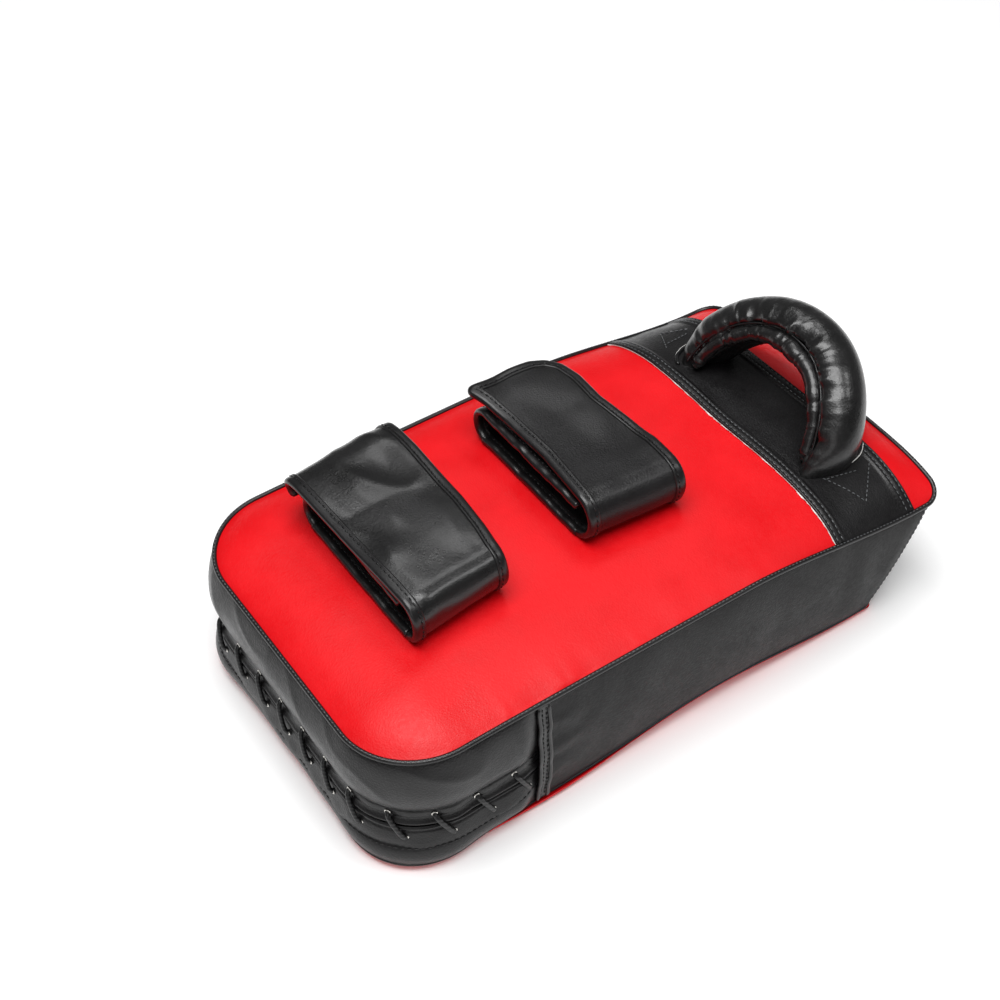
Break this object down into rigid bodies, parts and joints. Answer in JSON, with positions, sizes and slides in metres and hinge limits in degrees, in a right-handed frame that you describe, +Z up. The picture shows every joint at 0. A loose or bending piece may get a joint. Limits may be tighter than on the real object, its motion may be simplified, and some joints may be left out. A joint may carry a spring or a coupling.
{
  "type": "thai pad",
  "caption": "Curved rectangular strike shield with a foam core, sewn cover, padded grip handle, two hook-and-loop arm straps and a laced end.",
  "frame": {"origin": "on the floor under the middle of the pad, strike face down", "axes": "+X from the laced end to the handle end, +Y across the pad, +Z up out of the arm face"},
  "size_m": [0.3712, 0.2136, 0.1566],
  "materials": {
    "red_cover": "satin grained PU leathercloth",
    "black_cover": "semi-gloss grained PU leathercloth",
    "seam_trim": "semi-gloss folded PU binding with black thread",
    "foam": "closed-cell foam, cut",
    "white_backing": "knitted backing, matt",
    "webbing": "flat polypropylene weave",
    "lace": "waxed braided cord",
    "eyelet": "nickel plated",
    "hook_tape": "nylon hook tape",
    "loop_tape": "nylon loop tape"
  },
  "bodies": {
    "pad": {"strike_foam": "foam", "core_foam": "foam", "arm_foam": "foam", "strike_panel": "red_cover", "back_panel": "red_cover", "end_strip": "red_cover", "handle_band": "black_cover", "band_backing": "white_backing", "side_gusset_near": "black_cover", "side_gusset_far": "black_cover", "end_gusset": "black_cover", "lace_upper_panel": "black_cover", "lace_lower_panel": "black_cover", "upper_eyelet_strip": "black_cover", "lower_eyelet_strip": "black_cover", "lace_tongue": "black_cover", "lace_eyelets": "eyelet", "lace_cord": "lace", "back_welt": "seam_trim", "strike_welt": "seam_trim", "side_seam_near": "seam_trim", "side_seam_far": "seam_trim", "corner_seam_near": "seam_trim", "corner_seam_far": "seam_trim", "handle_foot_near": "black_cover", "handle_foot_far": "black_cover", "handle_anchor_near": "webbing", "handle_anchor_far": "webbing", "strap_1_base": "black_cover", "strap_1_base_binding": "seam_trim", "strap_2_base": "black_cover", "strap_2_base_binding": "seam_trim"},
    "handle": {"handle_cover": "black_cover", "handle_foam": "foam", "handle_webbing": "webbing", "handle_seam_edge": "seam_trim"},
    "strap_1_under": {"strap_1_under_flap": "black_cover", "strap_1_under_binding": "seam_trim", "strap_1_loop": "loop_tape"},
    "strap_1_top": {"strap_1_top_flap": "black_cover", "strap_1_top_binding": "seam_trim", "strap_1_hook": "hook_tape"},
    "strap_2_under": {"strap_2_under_flap": "black_cover", "strap_2_under_binding": "seam_trim", "strap_2_loop": "loop_tape"},
    "strap_2_top": {"strap_2_top_flap": "black_cover", "strap_2_top_binding": "seam_trim", "strap_2_hook": "hook_tape"}
  },
  "joints": [
    {"name": "handle_tilt", "type": "hinge", "parent": "pad", "child": "handle", "pos_m": [0.1335, 0, 0.10522], "axis": [0, 1, 0], "range_deg": [-58, 12], "stiffness_Nm_per_rad": 2},
    {"name": "strap_1_open", "type": "hinge", "parent": "pad", "child": "strap_1_top", "pos_m": [-0.104, -0.035, 0.12576], "axis": [1, 0, 0], "range_deg": [0, 150]},
    {"name": "strap_1_under_open", "type": "hinge", "parent": "pad", "child": "strap_1_under", "pos_m": [-0.104, 0.06, 0.12133], "axis": [-1, 0, 0], "range_deg": [0, 75]},
    {"name": "strap_2_open", "type": "hinge", "parent": "pad", "child": "strap_2_top", "pos_m": [0.013, -0.029, 0.12615], "axis": [1, 0, 0], "range_deg": [0, 150]},
    {"name": "strap_2_under_open", "type": "hinge", "parent": "pad", "child": "strap_2_under", "pos_m": [0.013, 0.057, 0.12169], "axis": [-1, 0, 0], "range_deg": [0, 75]}
  ],
  "couplings": [
    {"joint": "strap_1_under_open", "follows": "strap_1_open", "ratio": 0.5},
    {"joint": "strap_2_under_open", "follows": "strap_2_open", "ratio": 0.5}
  ]
}
